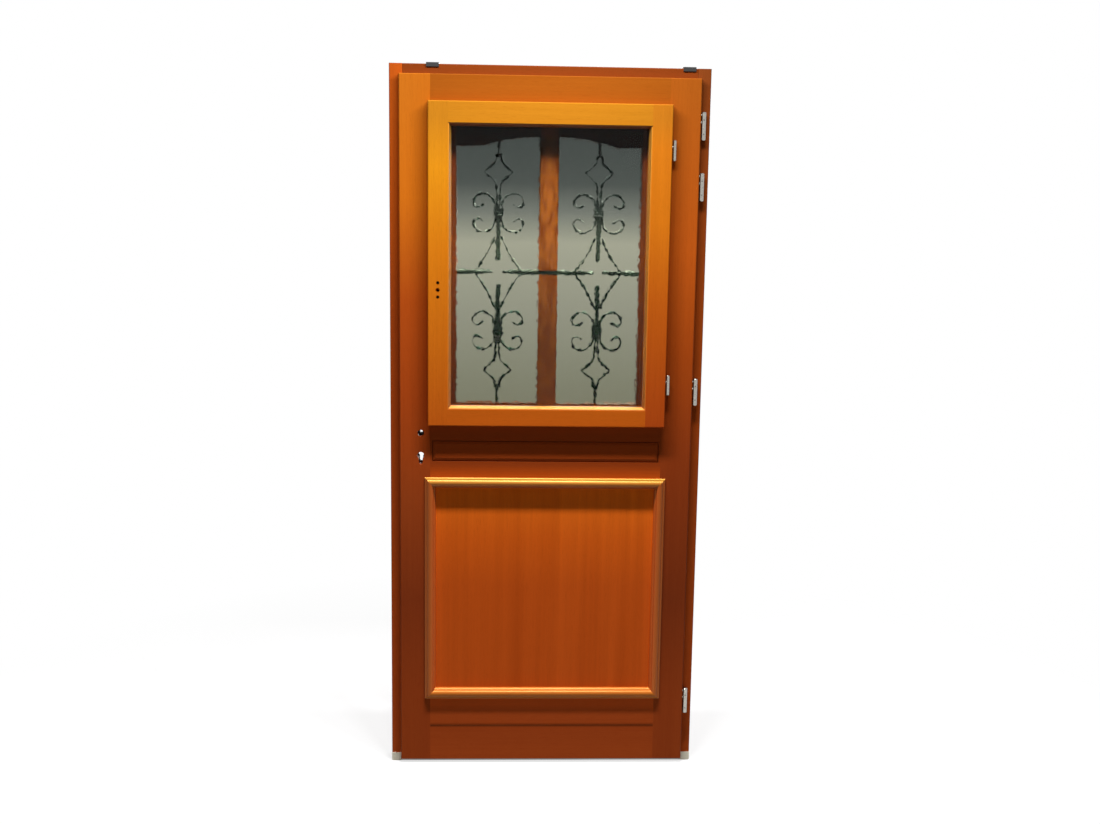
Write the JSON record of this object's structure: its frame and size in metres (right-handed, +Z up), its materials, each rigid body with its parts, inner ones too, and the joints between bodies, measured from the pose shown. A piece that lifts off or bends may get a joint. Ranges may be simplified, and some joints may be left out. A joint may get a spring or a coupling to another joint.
{
  "type": "glazed front door",
  "caption": "Inward-opening timber entrance door in its frame, with an opening glazed sash over an arched wrought iron grille, a moulded lower panel and a mortise lock.",
  "frame": {"origin": "on the floor, in the middle of the threshold's underside", "axes": "+X to the right seen from indoors (hinge side), +Y outdoors, +Z up"},
  "size_m": [0.96, 0.128, 2.184],
  "materials": {
    "wood_frame": "satin",
    "wood_leaf": "satin",
    "wood_sash": "gloss",
    "iron": "hammered satin",
    "glass": "textured",
    "hinge_steel": "satin",
    "lock_steel": "satin",
    "aluminium": "satin",
    "cap_plastic": "matte",
    "rubber": "matte",
    "lug_black": "matte"
  },
  "bodies": {
    "frame": {"frame_left_jamb": "wood_frame", "frame_right_jamb": "wood_frame", "frame_head": "wood_frame", "threshold": "aluminium", "threshold_cap_left": "cap_plastic", "threshold_cap_right": "cap_plastic", "frame_seals": "rubber", "strike_plate": "lock_steel", "head_lug_left": "lug_black", "head_lug_right": "lug_black", "door_hinge_frame_halves": "hinge_steel", "door_hinge_pins": "hinge_steel"},
    "leaf": {"leaf_lock_stile": "wood_leaf", "leaf_hinge_stile": "wood_leaf", "leaf_top_rail": "wood_leaf", "leaf_lock_rail": "wood_leaf", "leaf_bottom_rail": "wood_leaf", "leaf_plinth_rail": "wood_leaf", "lower_panel": "wood_leaf", "panel_moulding_left": "wood_leaf", "panel_moulding_right": "wood_leaf", "panel_moulding_top": "wood_leaf", "panel_moulding_bottom": "wood_leaf", "slim_panel": "wood_leaf", "weatherboard": "wood_leaf", "light_frame_left": "wood_leaf", "light_frame_right": "wood_leaf", "light_frame_bottom": "wood_leaf", "light_arched_head": "wood_leaf", "light_mullion": "wood_leaf", "sash_keeps": "lock_steel", "grille_uprights": "iron", "grille_cross_bars": "iron", "grille_scrolls": "iron", "grille_lozenge_bars": "iron", "grille_branches": "iron", "grille_collars": "iron", "lock_case": "lock_steel", "lock_faceplate": "lock_steel", "sash_seals": "rubber", "door_hinge_leaf_halves": "hinge_steel", "sash_hinge_leaf_halves": "hinge_steel", "sash_hinge_pins": "hinge_steel"},
    "lock_follower": {"lock_follower": "lock_steel"},
    "latch_bolt": {"latch_bolt": "lock_steel"},
    "dead_bolt": {"dead_bolt": "lock_steel"},
    "sash": {"sash_left_stile": "wood_sash", "sash_right_stile": "wood_sash", "sash_top_rail": "wood_sash", "sash_bottom_rail": "wood_sash", "glazing_beads_upright": "wood_sash", "glazing_beads_level": "wood_sash", "glass_inner_pane": "glass", "glass_outer_pane": "glass", "glass_spacer": "aluminium", "sash_hinge_sash_halves": "hinge_steel", "sash_lock_case": "lock_steel"},
    "sash_follower": {"sash_follower": "lock_steel"},
    "sash_rod_upper": {"sash_rod_upper": "lock_steel"},
    "sash_rod_lower": {"sash_rod_lower": "lock_steel"}
  },
  "joints": [
    {"name": "leaf_swing", "type": "hinge", "parent": "frame", "child": "leaf", "pos_m": [0.459, -0.05, 1.09], "axis": [0, 0, 1], "range_deg": [0, 110]},
    {"name": "sash_swing", "type": "hinge", "parent": "leaf", "child": "sash", "pos_m": [0.371, -0.07, 1.586], "axis": [0, 0, 1], "range_deg": [0, 95]},
    {"name": "handle_turn", "type": "hinge", "parent": "leaf", "child": "lock_follower", "pos_m": [-0.386, -0.018, 1.074], "axis": [0, -1, 0], "range_deg": [0, 40]},
    {"name": "latch_slide", "type": "slide", "parent": "leaf", "child": "latch_bolt", "axis": [-1, 0, 0], "range_m": [0, 0.012]},
    {"name": "dead_bolt_throw", "type": "slide", "parent": "leaf", "child": "dead_bolt", "axis": [-1, 0, 0], "range_m": [0, 0.02]},
    {"name": "sash_handle_turn", "type": "hinge", "parent": "sash", "child": "sash_follower", "pos_m": [-0.333, -0.044, 1.51519], "axis": [0, -1, 0], "range_deg": [0, 90]},
    {"name": "sash_rod_upper_slide", "type": "slide", "parent": "sash", "child": "sash_rod_upper", "axis": [0, 0, 1], "range_m": [0, 0.018]},
    {"name": "sash_rod_lower_slide", "type": "slide", "parent": "sash", "child": "sash_rod_lower", "axis": [0, 0, -1], "range_m": [0, 0.018]}
  ],
  "couplings": [
    {"joint": "handle_turn", "follows": "latch_slide", "rad_per_m": 58.17},
    {"joint": "sash_handle_turn", "follows": "sash_rod_upper_slide", "rad_per_m": 87.26},
    {"joint": "sash_rod_lower_slide", "follows": "sash_rod_upper_slide", "ratio": 1}
  ]
}
